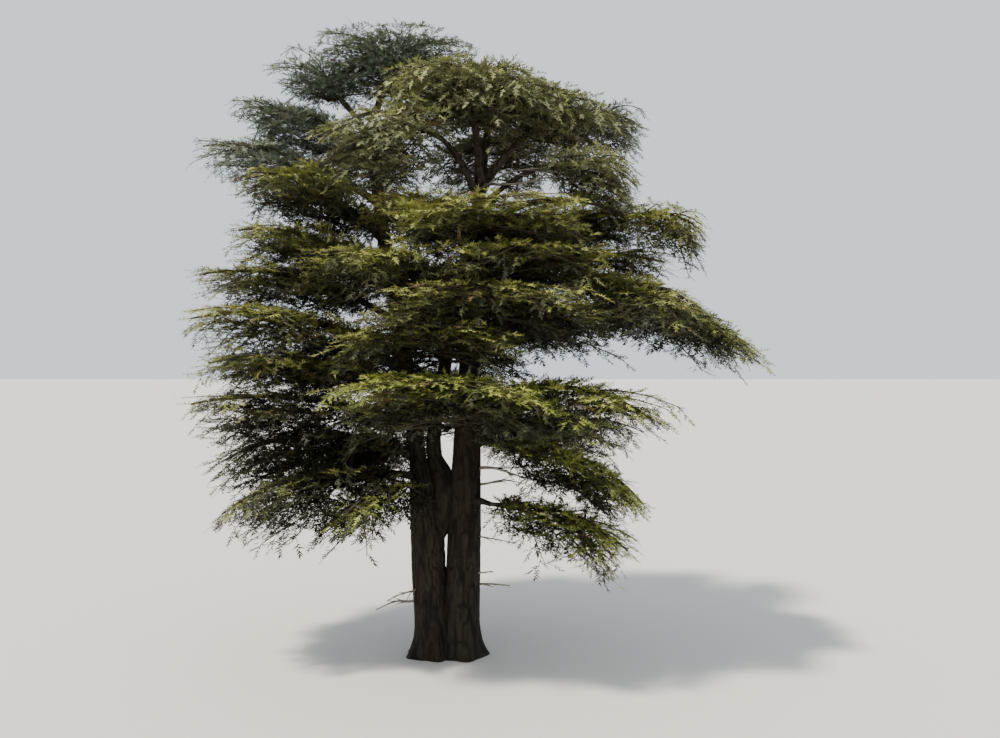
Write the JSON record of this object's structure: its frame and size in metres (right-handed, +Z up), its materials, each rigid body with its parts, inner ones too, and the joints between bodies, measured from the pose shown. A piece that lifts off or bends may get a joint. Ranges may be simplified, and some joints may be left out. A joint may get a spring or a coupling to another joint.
{
  "type": "cedar tree",
  "caption": "Old broad cedar with a forked trunk, long level boughs and flat tiers of dark green needles, fixed in the ground at its foot.",
  "frame": {"origin": "centre of the flat cut under the trunk, at ground level", "axes": "+Z up along the trunk, +X to the right and +Y away from the viewer of the picture"},
  "size_m": [19.6857, 14.5522, 22.5783],
  "materials": {
    "bark": "rough grey-brown bark",
    "foliage": "matt needles, olive green"
  },
  "bodies": {
    "root": {"bough_left_second": "bark", "bough_left_top": "bark", "bough_rear_right": "bark", "bough_right_bare": "bark", "bough_right_long": "bark", "bough_right_low": "bark", "bough_right_lowest": "bark", "bough_right_middle": "bark", "bough_right_upper": "bark", "bough_top_left": "bark", "bough_top_middle": "bark", "bough_top_right": "bark", "foliage_front_arm": "foliage", "foliage_front_crown": "foliage", "foliage_front_left": "foliage", "foliage_front_left_upper": "foliage", "foliage_front_low": "foliage", "foliage_front_lower": "foliage", "foliage_front_middle": "foliage", "foliage_front_right_low": "foliage", "foliage_front_second": "foliage", "foliage_front_upper": "foliage", "foliage_left_gold": "foliage", "foliage_left_hanging": "foliage", "foliage_left_low": "foliage", "foliage_left_low_under": "foliage", "foliage_left_lower": "foliage", "foliage_left_lowest": "foliage", "foliage_left_middle": "foliage", "foliage_left_reach": "foliage", "foliage_left_upper": "foliage", "foliage_rear_left_low": "foliage", "foliage_rear_left_lowest": "foliage", "foliage_rear_left_middle": "foliage", "foliage_rear_left_top": "foliage", "foliage_rear_low": "foliage", "foliage_rear_middle": "foliage", "foliage_rear_right": "foliage", "foliage_rear_right_low": "foliage", "foliage_rear_right_middle": "foliage", "foliage_rear_right_upper": "foliage", "foliage_rear_top": "foliage", "foliage_rear_upper": "foliage", "foliage_right_crown": "foliage", "foliage_right_crown_lower": "foliage", "foliage_right_front": "foliage", "foliage_right_long": "foliage", "foliage_right_low": "foliage", "foliage_right_lowest": "foliage", "foliage_right_middle": "foliage", "foliage_right_upper": "foliage", "foliage_right_upper_tip": "foliage", "foliage_shoulder_far_left": "foliage", "foliage_shoulder_left": "foliage", "foliage_top": "foliage", "foliage_top_left": "foliage", "left_stem": "bark", "middle_stem": "bark", "right_stem": "bark", "trunk": "bark"}
  },
  "joints": []
}
